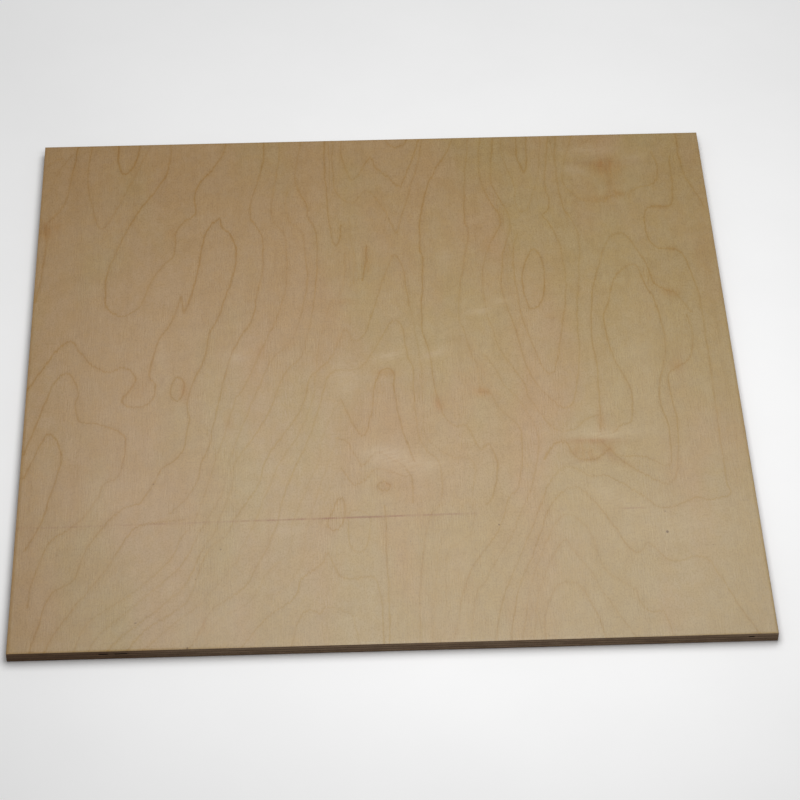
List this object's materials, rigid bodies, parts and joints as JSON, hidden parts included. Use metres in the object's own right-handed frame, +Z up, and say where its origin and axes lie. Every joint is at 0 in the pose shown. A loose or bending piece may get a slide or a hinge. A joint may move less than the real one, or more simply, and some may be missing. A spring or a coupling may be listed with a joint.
{
  "type": "plywood sheet",
  "caption": "Square birch-faced plywood sheet with sawn edges, a rotary-cut face veneer, and small core gaps open at the front edge.",
  "frame": {"origin": "centre of the underside, on the floor that the sheet lies on", "axes": "+Z up through the plies, +Y along the face grain away from the front edge, +X across the face grain to the right"},
  "size_m": [1.22, 1.22, 0.018],
  "materials": {
    "birch_face": "sanded, unsealed birch veneer with a faint sheen"
  },
  "bodies": {
    "root": {"plywood_sheet": "birch_face"}
  },
  "joints": []
}
